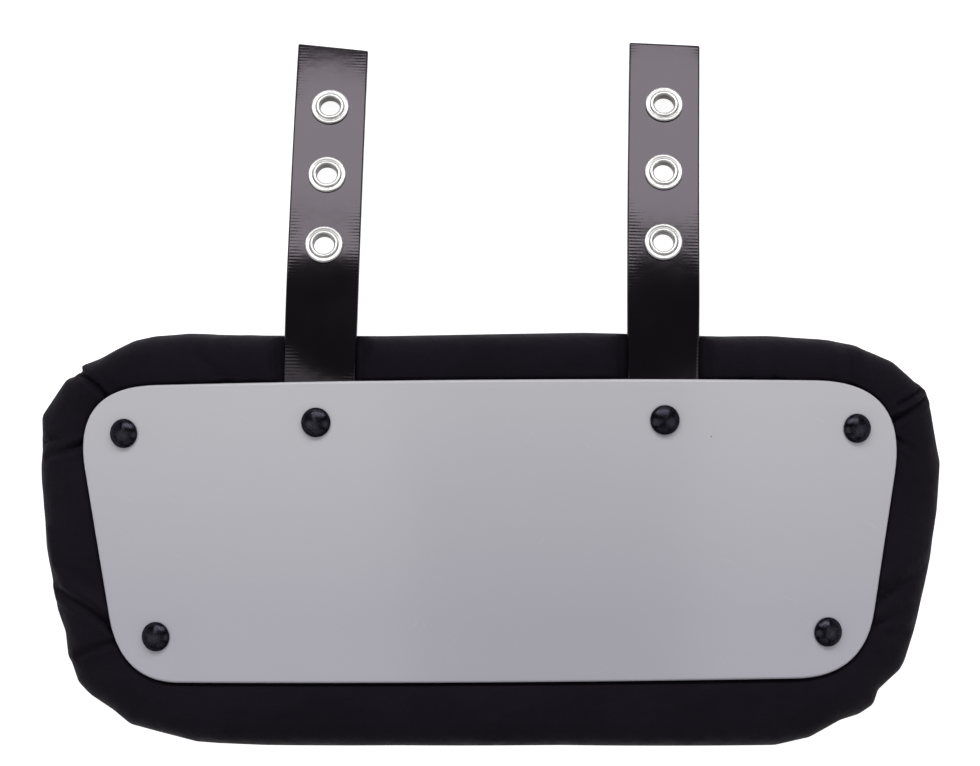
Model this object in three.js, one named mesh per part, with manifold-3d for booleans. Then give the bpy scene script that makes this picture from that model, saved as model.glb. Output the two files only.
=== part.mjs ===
// A football back plate, as it lies on a table with its outer face up.
// A moulded shell is riveted over a padded cushion, and two webbing straps with eyelets are
// riveted in between them. Shell and cushion are bent to the wearer's back, about one line along Y.
// Units are millimetres. +X runs across the back, +Y towards the straps' ends and +Z out of the face.
// Places are first worked out flat, as across, up and out: across is measured along the shell's
// outer face, up from the middle of its height, and out from the face itself.

import * as THREE from 'three';
import { mergeVertices } from 'three/addons/utils/BufferGeometryUtils.js';
import Module from 'manifold-3d';

const wasm = await Module();
wasm.setup();

// The arch, and the gap between pieces that touch
const ARCH_RADIUS = 460;
const CLEARANCE = 0.3;

// Shell
const PLATE_TOP_WIDTH = 309.5;
const PLATE_BOTTOM_WIDTH = 272.4;
const PLATE_HEIGHT = 106.7;
const PLATE_THICKNESS = 3;
const PLATE_EDGE_RADIUS = 1.6;
const PLATE_BOW = 1.8;

// Cushion: its foam under the shell, and the puffy rim round the shell
const PAD_WIDTH = 346;
const PAD_RIM_TOP = 17;
const PAD_RIM_BOTTOM = 24;
const PAD_RIM_THICKNESS = 19;
const PAD_RIM_DROP = 0.6;
const PAD_SEAT_THICKNESS = 14.2;

// Straps
const STRAP_WIDTH = 26;
const STRAP_THICKNESS = 2.2;
const STRAP_SPACING = 123.7;
const STRAP_FREE_LENGTH = 128.8;
const STRAP_TAIL = 10;
const STRAP_TURN_SHARE = 0.3;
const STRAP_LEAN = 1.7;
const STRAP_CUT_SLANT = 3.4;

// Eyelets
const EYELET_HOLE_RADIUS = 3.6;
const EYELET_FLANGE_RADIUS = 6.9;
const EYELET_WALL = 0.55;
const EYELET_FLANGE_THICKNESS = 0.5;
const EYELET_ROLL_SHARE = 0.58;
const EYELET_ROLL_HEIGHT = 0.95;
const EYELET_BACK_RADIUS = 6.2;
const EYELET_PITCH = 26.8;
const EYELET_END = 25;

// Rivets
const RIVET_HEAD_RADIUS = 5.25;
const RIVET_HEAD_HEIGHT = 3.2;
const RIVET_HEAD_RIM = 0.7;
const RIVET_SHANK_RADIUS = 2.2;
const RIVET_WASHER_RADIUS = 6.5;
const RIVET_WASHER_THICKNESS = 1;
const RIVET_DIMPLE_DEPTH = 3.5;
const RIVET_TOP_INSET = 17.5;
const RIVET_TOP_SIDE_INSET = 18.1;
const RIVET_BOTTOM_INSET = 16.4;
const RIVET_BOTTOM_SIDE_INSET = 17.3;
const RIVET_STRAP_INSET = 13.8;

// The shell's corners. across is a share of half the edge's width and up of half the height;
// edgeCut and sideCut are where the rounding starts, as shares of that edge's width and of the height.
const PLATE_CORNERS = [
  { name: 'top right', across: 1, up: 1, edgeCut: 0.119, sideCut: 0.316 },
  { name: 'top left', across: -1, up: 1, edgeCut: 0.106, sideCut: 0.283 },
  { name: 'bottom left', across: -1, up: -1, edgeCut: 0.084, sideCut: 0.23 },
  { name: 'bottom right', across: 1, up: -1, edgeCut: 0.097, sideCut: 0.226 },
];

// The cushion's outline, anticlockwise. across is a share of half its width, up of half its height,
// and round is the length of the rounding before and after the corner, as a share of the height.
const PAD_CORNERS = [
  { name: 'top right end', across: 0.602, up: 0.997, round: 0.08 },
  { name: 'top left end', across: -0.58, up: 1.01, round: 0.06 },
  { name: 'top left rise', across: -0.661, up: 1.028, round: 0.03 },
  { name: 'top left shoulder', across: -0.76, up: 1.006, round: 0.04 },
  { name: 'top left tuck', across: -0.878, up: 0.893, round: 0.03 },
  { name: 'left upper tuck', across: -0.933, up: 0.808, round: 0.03 },
  { name: 'left shoulder', across: -0.994, up: 0.661, round: 0.04 },
  { name: 'left side', across: -1.001, up: 0.38, round: 0.1 },
  { name: 'left waist', across: -0.994, up: 0.073, round: 0.1 },
  { name: 'left flank', across: -0.966, up: -0.325, round: 0.08 },
  { name: 'left hip', across: -0.93, up: -0.561, round: 0.04 },
  { name: 'bottom left shoulder', across: -0.915, up: -0.72, round: 0.04 },
  { name: 'bottom left tuck', across: -0.77, up: -0.917, round: 0.04 },
  { name: 'bottom left end', across: -0.644, up: -0.978, round: 0.08 },
  { name: 'bottom right end', across: 0.657, up: -1.005, round: 0.08 },
  { name: 'bottom right tuck', across: 0.826, up: -0.85, round: 0.02 },
  { name: 'bottom right lip', across: 0.834, up: -0.775, round: 0.02 },
  { name: 'bottom right shoulder', across: 0.906, up: -0.665, round: 0.04 },
  { name: 'right flank', across: 0.961, up: -0.278, round: 0.1 },
  { name: 'right waist', across: 0.994, up: 0.109, round: 0.1 },
  { name: 'right side', across: 1.003, up: 0.381, round: 0.06 },
  { name: 'right shoulder', across: 0.971, up: 0.667, round: 0.05 },
  { name: 'right upper tuck', across: 0.955, up: 0.745, round: 0.03 },
  { name: 'top right tuck', across: 0.881, up: 0.876, round: 0.05 },
  { name: 'top right shoulder', across: 0.768, up: 0.965, round: 0.05 },
];

// One section through the cushion's rim, from the shell's edge over the top and round underneath.
// along is a share of the rim's width there, and high a share of its thickness.
const RIM_SECTION = [
  { along: 0.08, high: 0.925 },
  { along: 0.24, high: 0.985 },
  { along: 0.46, high: 1 },
  { along: 0.68, high: 0.95 },
  { along: 0.86, high: 0.81 },
  { along: 0.97, high: 0.62 },
  { along: 1, high: 0.45 },
  { along: 0.95, high: 0.25 },
  { along: 0.8, high: 0.08 },
  { along: 0.52, high: 0 },
  { along: 0.15, high: 0.04 },
];
const RIM_CORE = { along: 0.5, high: 0.5 };

// Folds that cross the rim at the two ends. atPlate and atRim are where a fold meets the shell's
// edge and the outline, in degrees round the end from the top. width is a share of the rim's
// thickness, and pinchPlate and pinchRim are the share by which the section shrinks there.
const FOLDS = [
  { name: 'left top', end: -1, atPlate: 38, atRim: 41, width: 0.22, pinchPlate: 0.2, pinchRim: 0.3 },
  { name: 'left short', end: -1, atPlate: 60, atRim: 62, width: 0.14, pinchPlate: 0, pinchRim: 0.14 },
  { name: 'left upper', end: -1, atPlate: 57, atRim: 67, width: 0.18, pinchPlate: 0.2, pinchRim: 0.12 },
  { name: 'left long', end: -1, atPlate: 134, atRim: 112, width: 0.24, pinchPlate: 0.2, pinchRim: 0.14 },
  { name: 'left lower', end: -1, atPlate: 139, atRim: 131, width: 0.16, pinchPlate: 0.14, pinchRim: 0.16 },
  { name: 'left bottom', end: -1, atPlate: 156, atRim: 159, width: 0.2, pinchPlate: 0.02, pinchRim: 0.14 },
  { name: 'right dip', end: 1, atPlate: 29, atRim: 23, width: 0.4, pinchPlate: 0.1, pinchRim: 0.06 },
  { name: 'right short', end: 1, atPlate: 45, atRim: 48, width: 0.16, pinchPlate: 0.02, pinchRim: 0.16 },
  { name: 'right upper', end: 1, atPlate: 50, atRim: 53, width: 0.2, pinchPlate: 0.2, pinchRim: 0.18 },
  { name: 'right long', end: 1, atPlate: 122, atRim: 105, width: 0.28, pinchPlate: 0.12, pinchRim: 0.1 },
  { name: 'right lower', end: 1, atPlate: 132, atRim: 120, width: 0.2, pinchPlate: 0.12, pinchRim: 0.12 },
  { name: 'right corner', end: 1, atPlate: 148, atRim: 152, width: 0.2, pinchPlate: 0.04, pinchRim: 0.2 },
];

// How steeply a strap falls away, in degrees, along its length beyond the shell's edge
const STRAP_FALL = [
  { along: 0, slope: 2 },
  { along: 0.16, slope: 8.5 },
  { along: 0.38, slope: 16 },
  { along: 0.6, slope: 17.5 },
  { along: 0.81, slope: 21 },
  { along: 1, slope: 22 },
];

// Fineness of the meshes
const RUN_STEPS = 16;
const FAN_STEPS = 54;
const CORNER_STEPS = 8;
const STRAP_STEPS = 14;
const FALL_STEPS = 40;
const EYELET_SIDES = 14;
// The bore's flats stand on its true circle, so what fits the real hole still passes
const EYELET_BORE_CORNER = EYELET_HOLE_RADIUS / Math.cos(Math.PI / EYELET_SIDES);
const RIVET_SIDES = 14;
const DOME_STEPS = 4;
const FACE_SHARES = [0, 0.4, 0.75];
const EDGE_STEPS = 2;

const padHeight = PLATE_HEIGHT + PAD_RIM_TOP + PAD_RIM_BOTTOM;
const padMiddle = (PAD_RIM_TOP - PAD_RIM_BOTTOM) / 2;
const seatOut = -(PLATE_THICKNESS + CLEARANCE);
const backOut = seatOut - PAD_SEAT_THICKNESS;
const spineHalf = (PLATE_TOP_WIDTH - PLATE_HEIGHT) / 2;

const materials = {
  nylon: new THREE.MeshStandardMaterial({ color: 0x18161c, roughness: 0.82, metalness: 0 }),
  plastic: new THREE.MeshStandardMaterial({ color: 0xb7b6bb, roughness: 0.32, metalness: 0 }),
  webbing: new THREE.MeshStandardMaterial({ color: 0x141218, roughness: 0.38, metalness: 0 }),
  nickel: new THREE.MeshStandardMaterial({ color: 0xc9c8c6, roughness: 0.22, metalness: 1 }),
  blackMetal: new THREE.MeshStandardMaterial({ color: 0x1a1a1c, roughness: 0.35, metalness: 0.4 }),
};

// Closed solids and booleans
function solidOf(geometry) {
  const bare = geometry.clone();
  bare.deleteAttribute('normal');
  bare.deleteAttribute('uv');
  const merged = mergeVertices(bare, 1e-4);
  return new wasm.Manifold(new wasm.Mesh({
    numProp: 3,
    vertProperties: new Float32Array(merged.attributes.position.array),
    triVerts: new Uint32Array(merged.index.array),
  }));
}

function geometryOf(solid) {
  const mesh = solid.getMesh();
  const geometry = new THREE.BufferGeometry();
  geometry.setAttribute('position', new THREE.BufferAttribute(new Float32Array(mesh.vertProperties), 3));
  geometry.setIndex(new THREE.BufferAttribute(new Uint32Array(mesh.triVerts), 1));
  geometry.computeVertexNormals();
  return geometry;
}

function cutAway(geometry, cutters) {
  let solid = solidOf(geometry);
  for (const cutter of cutters) {
    solid = solid.subtract(solidOf(cutter));
  }
  return geometryOf(solid);
}

// Rings of points, from the middle of the outer face to the middle of the back, become a closed skin
function skinOf(rings) {
  const count = rings[0].length;
  const positions = rings.flat().flatMap((point) => point.toArray());
  const index = [];
  const differ = (a, b) => rings[Math.floor(a / count)][a % count]
    .distanceTo(rings[Math.floor(b / count)][b % count]) > 1e-3;
  const addTriangle = (a, b, c) => {
    if (differ(a, b) && differ(b, c) && differ(c, a)) {
      index.push(a, b, c);
    }
  };
  for (let ring = 0; ring + 1 < rings.length; ring += 1) {
    for (let i = 0; i < count; i += 1) {
      const here = ring * count + i;
      const next = ring * count + (i + 1) % count;
      addTriangle(here, here + count, next + count);
      addTriangle(here, next + count, next);
    }
  }
  const geometry = new THREE.BufferGeometry();
  geometry.setAttribute('position', new THREE.BufferAttribute(new Float32Array(positions), 3));
  geometry.setIndex(index);
  return geometry;
}

// The arch
function bend(across, up, out) {
  const angle = across / ARCH_RADIUS;
  const radius = ARCH_RADIUS + out;
  return new THREE.Vector3(radius * Math.sin(angle), up, radius * Math.cos(angle) - ARCH_RADIUS);
}

// A group whose X, Y and Z are across, up and out at one place on the shell's outer face
function placeOnArch(across, up) {
  const group = new THREE.Group();
  group.position.copy(bend(across, up, 0));
  group.rotation.y = across / ARCH_RADIUS;
  return group;
}

// Outlines, as polygons with rounded corners
function roundedOutline(corners) {
  const path = new THREE.Path();
  corners.forEach((corner, i) => {
    const last = corners[(i + corners.length - 1) % corners.length].point;
    const next = corners[(i + 1) % corners.length].point;
    const start = corner.point.clone().add(last.clone().sub(corner.point).setLength(corner.before));
    const end = corner.point.clone().add(next.clone().sub(corner.point).setLength(corner.after));
    if (i === 0) {
      path.moveTo(start.x, start.y);
    } else {
      path.lineTo(start.x, start.y);
    }
    path.quadraticCurveTo(corner.point.x, corner.point.y, end.x, end.y);
  });
  path.closePath();
  return path.getPoints(CORNER_STEPS);
}

function plateOutline() {
  const outline = roundedOutline(PLATE_CORNERS.map((row) => {
    const width = row.up > 0 ? PLATE_TOP_WIDTH : PLATE_BOTTOM_WIDTH;
    const edgeCut = row.edgeCut * width;
    const sideCut = row.sideCut * PLATE_HEIGHT;
    const edgeIsBefore = row.across * row.up < 0;
    return {
      point: new THREE.Vector2(row.across * width / 2, row.up * PLATE_HEIGHT / 2),
      before: edgeIsBefore ? edgeCut : sideCut,
      after: edgeIsBefore ? sideCut : edgeCut,
    };
  }));
  const half = PLATE_TOP_WIDTH / 2;
  return outline.map((p) => new THREE.Vector2(p.x, p.y + PLATE_BOW * (1 / 2 - (p.x / half) ** 2)));
}

function padOutline() {
  return roundedOutline(PAD_CORNERS.map((row) => ({
    point: new THREE.Vector2(row.across * PAD_WIDTH / 2, padMiddle + row.up * padHeight / 2),
    before: row.round * padHeight,
    after: row.round * padHeight,
  })));
}

// Stations run anticlockwise round a straight spine: rays go straight up and down from the
// spine, and fan out from its two ends. round is the fan's angle from the top, in degrees.
function stations() {
  const list = [];
  for (const side of [1, -1]) {
    for (let i = 0; i < RUN_STEPS; i += 1) {
      list.push({
        origin: new THREE.Vector2(side * spineHalf * (1 - 2 * i / RUN_STEPS), 0),
        ray: new THREE.Vector2(0, side),
        end: 0,
        round: 0,
      });
    }
    for (let i = 0; i < FAN_STEPS; i += 1) {
      const turn = Math.PI * (i / FAN_STEPS);
      const round = side > 0 ? 180 * i / FAN_STEPS : 180 * (1 - i / FAN_STEPS);
      list.push({
        origin: new THREE.Vector2(-side * spineHalf, 0),
        ray: new THREE.Vector2(-side * Math.sin(turn), side * Math.cos(turn)),
        end: -side,
        round,
      });
    }
  }
  return list;
}

// How far a ray runs from the spine to an outline
function reach(outline, { origin, ray }) {
  let farthest = 0;
  outline.forEach((a, i) => {
    const b = outline[(i + 1) % outline.length];
    const edge = b.clone().sub(a);
    const across = ray.x * edge.y - ray.y * edge.x;
    if (Math.abs(across) < 1e-9) {
      return;
    }
    const offset = a.clone().sub(origin);
    const distance = (offset.x * edge.y - offset.y * edge.x) / across;
    const share = (offset.x * ray.y - offset.y * ray.x) / across;
    if (share > -1e-9 && share < 1 + 1e-9) {
      farthest = Math.max(farthest, distance);
    }
  });
  return farthest;
}

const allStations = stations();
const plateLine = plateOutline();
const padLine = padOutline();
for (const station of allStations) {
  station.plateReach = reach(plateLine, station);
  station.padReach = reach(padLine, station);
}

function ringAt(list, distanceOf, outOf) {
  return list.map((station) => {
    const distance = distanceOf(station);
    const p = station.origin.clone().addScaledVector(station.ray, distance);
    return bend(p.x, p.y, outOf(station));
  });
}

// Shell: every second station is enough for its smooth outline
function plateGeometry() {
  const list = allStations.filter((station, i) => i % 2 === 0);
  const rings = [];
  for (const share of FACE_SHARES) {
    rings.push(ringAt(list, (s) => share * s.plateReach, () => 0));
  }
  for (let i = 0; i <= EDGE_STEPS; i += 1) {
    const turn = (Math.PI / 2) * (i / EDGE_STEPS);
    const inset = PLATE_EDGE_RADIUS * (1 - Math.sin(turn));
    const depth = PLATE_EDGE_RADIUS * (1 - Math.cos(turn));
    rings.push(ringAt(list, (s) => s.plateReach - inset, () => -depth));
  }
  rings.push(ringAt(list, (s) => s.plateReach, () => -PLATE_THICKNESS));
  for (const share of [...FACE_SHARES].reverse()) {
    rings.push(ringAt(list, (s) => share * s.plateReach, () => -PLATE_THICKNESS));
  }
  return skinOf(rings);
}

// Cushion: how much the rim is pinched at a station, at a share of the way across the rim
function pinchAt(station, along) {
  let pinch = 0;
  for (const fold of FOLDS) {
    if (fold.end === station.end) {
      const at = THREE.MathUtils.lerp(fold.atPlate, fold.atRim, along);
      const depth = THREE.MathUtils.lerp(fold.pinchPlate, fold.pinchRim, along);
      const away = THREE.MathUtils.degToRad(station.round - at) * station.padReach;
      pinch += depth * Math.exp(-((away / (fold.width * PAD_RIM_THICKNESS)) ** 2));
    }
  }
  return pinch;
}

function padGeometry() {
  const rimBottom = -(PAD_RIM_DROP + PAD_RIM_THICKNESS);
  const seatEdge = (s) => s.plateReach + CLEARANCE;
  const rings = [];
  for (const share of FACE_SHARES) {
    rings.push(ringAt(allStations, (s) => share * s.plateReach, () => seatOut));
  }
  rings.push(ringAt(allStations, seatEdge, () => seatOut));
  for (const row of RIM_SECTION) {
    const alongAt = (s) => {
      const squeeze = 1 - pinchAt(s, Math.min(row.along, 1));
      return RIM_CORE.along + (row.along - RIM_CORE.along) * (row.along > RIM_CORE.along ? squeeze : 1);
    };
    const highAt = (s) => RIM_CORE.high + (row.high - RIM_CORE.high) * (1 - pinchAt(s, row.along));
    rings.push(ringAt(
      allStations,
      (s) => THREE.MathUtils.lerp(seatEdge(s), s.padReach, alongAt(s)),
      (s) => rimBottom + highAt(s) * PAD_RIM_THICKNESS,
    ));
  }
  for (const share of [...FACE_SHARES].reverse()) {
    rings.push(ringAt(allStations, (s) => share * s.plateReach, () => backOut));
  }
  return skinOf(rings);
}

// Straps: each lies in its own upright group, whose origin is the strap's rivet on the shell's
// outer face. Under the shell a strap lies along the arch, and it turns level where it hangs free.
const strapTop = seatOut - (STRAP_WIDTH / 2) ** 2 / (2 * ARCH_RADIUS);
const strapMiddle = strapTop - STRAP_THICKNESS / 2;

function strapSlope(along) {
  const i = STRAP_FALL.findIndex((row) => row.along >= along);
  if (i < 1) {
    return THREE.MathUtils.degToRad(i === 0 ? STRAP_FALL[0].slope : STRAP_FALL.at(-1).slope);
  }
  const [a, b] = [STRAP_FALL[i - 1], STRAP_FALL[i]];
  const slope = THREE.MathUtils.mapLinear(along, a.along, b.along, a.slope, b.slope);
  return THREE.MathUtils.degToRad(slope);
}

// The frame of a strap's middle layer at a length beyond the shell's edge, less than zero under it
function strapFrame(archAngle, length) {
  const step = Math.max(length, 0) / FALL_STEPS;
  const point = new THREE.Vector3(Math.sin(archAngle), 0, Math.cos(archAngle)).multiplyScalar(strapMiddle);
  point.y = RIVET_STRAP_INSET + Math.min(length, 0);
  for (let i = 0; i < FALL_STEPS; i += 1) {
    const slope = strapSlope((i + 1 / 2) * step / STRAP_FREE_LENGTH);
    point.y += step * Math.cos(slope);
    point.z -= step * Math.sin(slope);
  }
  const slope = length > 0 ? strapSlope(length / STRAP_FREE_LENGTH) : 0;
  const turn = archAngle * (1 - THREE.MathUtils.smoothstep(length / STRAP_FREE_LENGTH, 0, STRAP_TURN_SHARE));
  const across = new THREE.Vector3(0, Math.sin(slope), Math.cos(slope)).multiplyScalar(-Math.sin(turn));
  across.x = Math.cos(turn);
  const along = new THREE.Vector3(0, Math.cos(slope), -Math.sin(slope));
  const out = across.clone().cross(along);
  return new THREE.Matrix4().makeBasis(across, along, out).setPosition(point);
}

// A ribbon that follows the strap, from below to above its middle layer, with its end cut slanting
function ribbonGeometry(archAngle, width, below, above) {
  const lengths = [-(RIVET_STRAP_INSET + STRAP_TAIL)];
  for (let i = 0; i <= STRAP_STEPS; i += 1) {
    lengths.push(STRAP_FREE_LENGTH * (i / STRAP_STEPS));
  }
  const slant = Math.tan(THREE.MathUtils.degToRad(STRAP_CUT_SLANT));
  const sections = lengths.map((length, i) => {
    const frame = strapFrame(archAngle, length);
    const skew = i + 1 === lengths.length ? slant * width / 2 : 0;
    return [[1, above], [-1, above], [-1, -below], [1, -below]].map(
      ([side, out]) => new THREE.Vector3(side * width / 2, -side * skew, out).applyMatrix4(frame),
    );
  });
  const middleOf = (section) => {
    const middle = section[0].clone().add(section[2]).multiplyScalar(1 / 2);
    return section.map(() => middle);
  };
  return skinOf([middleOf(sections[0]), ...sections, middleOf(sections.at(-1))]);
}

function cylinderAlongOut(radius, from, to, sides) {
  const geometry = new THREE.CylinderGeometry(radius, radius, to - from, sides);
  geometry.rotateX(Math.PI / 2);
  geometry.translate(0, 0, (from + to) / 2);
  return geometry;
}

const eyeletLengths = {
  top: STRAP_FREE_LENGTH - EYELET_END,
  middle: STRAP_FREE_LENGTH - EYELET_END - EYELET_PITCH,
  bottom: STRAP_FREE_LENGTH - EYELET_END - 2 * EYELET_PITCH,
};

function strapGeometry(archAngle) {
  const half = STRAP_THICKNESS / 2;
  const barrel = EYELET_BORE_CORNER + EYELET_WALL + CLEARANCE;
  const shank = RIVET_SHANK_RADIUS + CLEARANCE;
  const eyeletHole = cylinderAlongOut(barrel, -STRAP_THICKNESS, STRAP_THICKNESS, EYELET_SIDES);
  const rivetHole = cylinderAlongOut(shank, -STRAP_THICKNESS, STRAP_THICKNESS, RIVET_SIDES);
  const cutters = Object.values(eyeletLengths).map(
    (length) => eyeletHole.clone().applyMatrix4(strapFrame(archAngle, length)),
  );
  cutters.push(rivetHole.applyMatrix4(strapFrame(archAngle, -RIVET_STRAP_INSET)));
  return cutAway(ribbonGeometry(archAngle, STRAP_WIDTH, half, half), cutters);
}

// An eyelet turned about its barrel, with its middle on the strap's middle layer. From inside to
// outside its face has a rolled rim round the hole and a flat flange, and its back a plain flange.
function eyeletGeometry() {
  const under = STRAP_THICKNESS / 2 + CLEARANCE;
  const face = under + EYELET_FLANGE_THICKNESS;
  const hole = EYELET_BORE_CORNER;
  const rollOuter = THREE.MathUtils.lerp(hole, EYELET_FLANGE_RADIUS, EYELET_ROLL_SHARE);
  const rollMiddle = (hole + rollOuter) / 2;
  const profile = [
    [hole, -face],
    [EYELET_BACK_RADIUS, -face],
    [EYELET_BACK_RADIUS, -under],
    [hole + EYELET_WALL, -under],
    [hole + EYELET_WALL, under],
    [EYELET_FLANGE_RADIUS, under],
    [EYELET_FLANGE_RADIUS, face],
    [rollOuter, face],
    [(rollMiddle + rollOuter) / 2, face + EYELET_ROLL_HEIGHT * 3 / 4],
    [rollMiddle, face + EYELET_ROLL_HEIGHT],
    [hole, face + EYELET_ROLL_HEIGHT / 2],
    [hole, -face],
  ].map(([radius, height]) => new THREE.Vector2(radius, height));
  const geometry = new THREE.LatheGeometry(profile, EYELET_SIDES);
  geometry.rotateX(Math.PI / 2);
  return geometryOf(solidOf(geometry));
}

// A rivet turned about its shank, with its head's underside just clear of the shell
function rivetGeometry() {
  const washerTop = backOut + RIVET_DIMPLE_DEPTH - CLEARANCE;
  const washerBottom = washerTop - RIVET_WASHER_THICKNESS;
  const profile = [
    new THREE.Vector2(0, washerBottom),
    new THREE.Vector2(RIVET_WASHER_RADIUS, washerBottom),
    new THREE.Vector2(RIVET_WASHER_RADIUS, washerTop),
    new THREE.Vector2(RIVET_SHANK_RADIUS, washerTop),
    new THREE.Vector2(RIVET_SHANK_RADIUS, CLEARANCE),
    new THREE.Vector2(RIVET_HEAD_RADIUS, CLEARANCE),
  ];
  for (let i = 0; i <= DOME_STEPS; i += 1) {
    const turn = (Math.PI / 2) * (i / DOME_STEPS);
    const rise = (RIVET_HEAD_HEIGHT - RIVET_HEAD_RIM) * Math.sin(turn);
    profile.push(new THREE.Vector2(
      i === DOME_STEPS ? 0 : RIVET_HEAD_RADIUS * Math.cos(turn),
      CLEARANCE + RIVET_HEAD_RIM + rise,
    ));
  }
  const geometry = new THREE.LatheGeometry(profile, RIVET_SIDES);
  geometry.rotateX(Math.PI / 2);
  return geometryOf(solidOf(geometry));
}

// Rivet places on the shell, set in from its edges
function plateHalfWidth(up) {
  const share = up / PLATE_HEIGHT + 1 / 2;
  return THREE.MathUtils.lerp(PLATE_BOTTOM_WIDTH, PLATE_TOP_WIDTH, share) / 2;
}

function rivetPlaces() {
  const top = PLATE_HEIGHT / 2 - RIVET_TOP_INSET;
  const bottom = -PLATE_HEIGHT / 2 + RIVET_BOTTOM_INSET;
  const strap = PLATE_HEIGHT / 2 - RIVET_STRAP_INSET;
  const topHalf = plateHalfWidth(top) - RIVET_TOP_SIDE_INSET;
  const bottomHalf = plateHalfWidth(bottom) - RIVET_BOTTOM_SIDE_INSET;
  const places = {};
  for (const [sideName, side] of [['left', -1], ['right', 1]]) {
    places[`top_${sideName}`] = { across: side * topHalf, up: top };
    places[`strap_${sideName}`] = { across: side * STRAP_SPACING / 2, up: strap };
    places[`bottom_${sideName}`] = { across: side * bottomHalf, up: bottom };
  }
  return places;
}

// A cutter turned and moved to its place on the arch
function cutterAt({ across, up }, geometry) {
  const group = placeOnArch(across, up);
  group.updateMatrixWorld(true);
  return geometry.clone().applyMatrix4(group.matrixWorld);
}

// The upright group that a strap lies in, turned a little so that the strap leans
function placeOfStrap({ across, up }) {
  const group = new THREE.Group();
  group.position.copy(bend(across, up, 0));
  group.rotation.z = -THREE.MathUtils.degToRad(STRAP_LEAN);
  return group;
}

const rivets = rivetPlaces();

function namedMesh(name, geometry, material) {
  const mesh = new THREE.Mesh(geometry, material);
  mesh.name = name;
  return mesh;
}

const backPlate = new THREE.Group();

// Shell, with its rivet holes
const shankHole = cylinderAlongOut(
  RIVET_SHANK_RADIUS + CLEARANCE,
  backOut - PAD_RIM_THICKNESS,
  PAD_RIM_THICKNESS,
  RIVET_SIDES,
);
const rivetHoles = Object.values(rivets).map((place) => cutterAt(place, shankHole));
backPlate.add(namedMesh('face_plate', cutAway(plateGeometry(), rivetHoles), materials.plastic));

// Cushion, with its rivet holes, the dimples of the washers and the hollows pressed in by the straps
const dimple = cylinderAlongOut(
  RIVET_WASHER_RADIUS + 2 * CLEARANCE,
  backOut - PAD_RIM_THICKNESS,
  backOut + RIVET_DIMPLE_DEPTH,
  RIVET_SIDES,
);
const dimples = Object.values(rivets).map((place) => cutterAt(place, dimple));
const troughs = [rivets.strap_left, rivets.strap_right].map((place) => {
  const archAngle = place.across / ARCH_RADIUS;
  const half = STRAP_THICKNESS / 2;
  const trough = ribbonGeometry(archAngle, STRAP_WIDTH + 2 * CLEARANCE, half + CLEARANCE, PAD_RIM_THICKNESS);
  const group = placeOfStrap(place);
  group.updateMatrixWorld(true);
  return trough.applyMatrix4(group.matrixWorld);
});
const padCutters = [...rivetHoles, ...dimples, ...troughs];
backPlate.add(namedMesh('back_pad', cutAway(padGeometry(), padCutters), materials.nylon));

// Rivets
for (const [name, { across, up }] of Object.entries(rivets)) {
  const place = placeOnArch(across, up);
  place.add(namedMesh(`rivet_${name}`, rivetGeometry(), materials.blackMetal));
  backPlate.add(place);
}

// Straps, each with its eyelets
for (const side of ['left', 'right']) {
  const place = rivets[`strap_${side}`];
  const archAngle = place.across / ARCH_RADIUS;
  const strap = placeOfStrap(place);
  strap.add(namedMesh(`strap_${side}`, strapGeometry(archAngle), materials.webbing));
  for (const [station, length] of Object.entries(eyeletLengths)) {
    const eyelet = namedMesh(`eyelet_${side}_${station}`, eyeletGeometry(), materials.nickel);
    eyelet.applyMatrix4(strapFrame(archAngle, length));
    strap.add(eyelet);
  }
  backPlate.add(strap);
}

// The whole part stands with the middle of its box over the origin and its lowest point at zero
const box = new THREE.Box3().setFromObject(backPlate, true);
const middle = box.getCenter(new THREE.Vector3());
backPlate.position.set(-middle.x, -middle.y, -box.min.z);
backPlate.updateMatrixWorld(true);

export default backPlate;
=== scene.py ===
import bmesh
import bpy
import numpy as np
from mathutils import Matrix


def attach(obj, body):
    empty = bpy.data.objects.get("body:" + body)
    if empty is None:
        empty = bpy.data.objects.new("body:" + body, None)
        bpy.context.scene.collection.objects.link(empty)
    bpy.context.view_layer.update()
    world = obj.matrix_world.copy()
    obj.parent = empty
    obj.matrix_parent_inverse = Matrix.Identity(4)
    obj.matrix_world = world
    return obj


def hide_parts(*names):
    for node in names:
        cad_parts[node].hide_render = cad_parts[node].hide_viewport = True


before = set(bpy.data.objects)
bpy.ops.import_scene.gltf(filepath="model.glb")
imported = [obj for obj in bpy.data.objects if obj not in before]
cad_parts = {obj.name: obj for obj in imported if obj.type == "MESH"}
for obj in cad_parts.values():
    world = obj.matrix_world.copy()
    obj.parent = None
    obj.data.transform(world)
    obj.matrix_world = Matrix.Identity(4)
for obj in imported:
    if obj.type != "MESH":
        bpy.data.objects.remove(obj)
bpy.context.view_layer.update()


# Cushion
# Foam sewn into a bag of black woven nylon and bent to the wearer's back. The shell is riveted
# down into it, so the bag puffs up as a rim round the shell and lies in folds at its two ends.
# Lengths are millimetres. across is measured along the arch, up from the middle of the shell's
# height, and out from the shell's outer face.
ARCH_RADIUS = 460.0
ARCH_PLACE = np.array([-0.09644, -50.4128, 47.23756])
SHELL_TOP_WIDTH = 309.5
SHELL_BOTTOM_WIDTH = 272.4
SHELL_HEIGHT = 106.7
SHELL_THICKNESS = 3.0
SHELL_BOW = 1.8
RIM_THICKNESS = 19.0
RIM_DROP = 0.6
SEAT_OUT = -3.5
BACK_OUT = -17.5
STRAP_WIDTH = 26.0
STRAP_THICKNESS = 2.2
STRAP_SPACING = 123.7
STRAP_FREE_LENGTH = 128.8
STRAP_TAIL = 10.0
STRAP_INSET = 13.8
STRAP_MIDDLE = -4.584
STRAP_LEAN = 1.7
STRAP_TURN_SHARE = 0.3
STRAP_BOW = {-1: 0.0, 1: -0.5}
STRAP_CURL = {-1: 2.6, 1: -0.5}
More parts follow.
